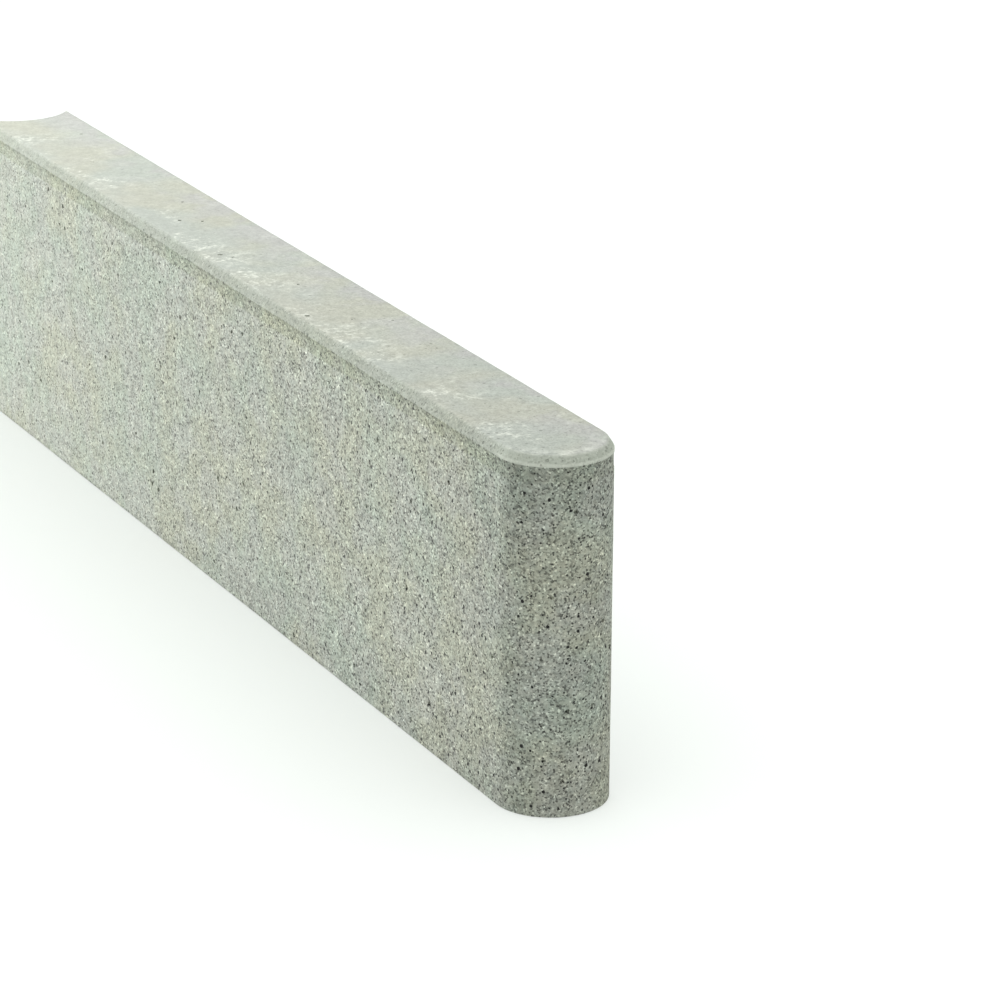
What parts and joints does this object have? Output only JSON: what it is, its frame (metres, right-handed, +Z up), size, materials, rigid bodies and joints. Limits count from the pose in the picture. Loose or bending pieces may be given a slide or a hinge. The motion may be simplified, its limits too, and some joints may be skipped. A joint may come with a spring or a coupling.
{
  "type": "concrete kerb stone",
  "caption": "Straight cast concrete kerb stone with a half-round nose at one end, a matching hollow at the other and a small chamfer round the top.",
  "frame": {"origin": "middle of the base, under the centre of the stone's overall box", "axes": "+X along the stone towards its half-round nose, +Y across its thickness, +Z up"},
  "size_m": [1, 0.08, 0.25],
  "materials": {
    "concrete": "bare cast concrete, light grey, matt, finely pitted, with pale streaks on top"
  },
  "bodies": {
    "root": {"kerb_stone": "concrete"}
  },
  "joints": []
}
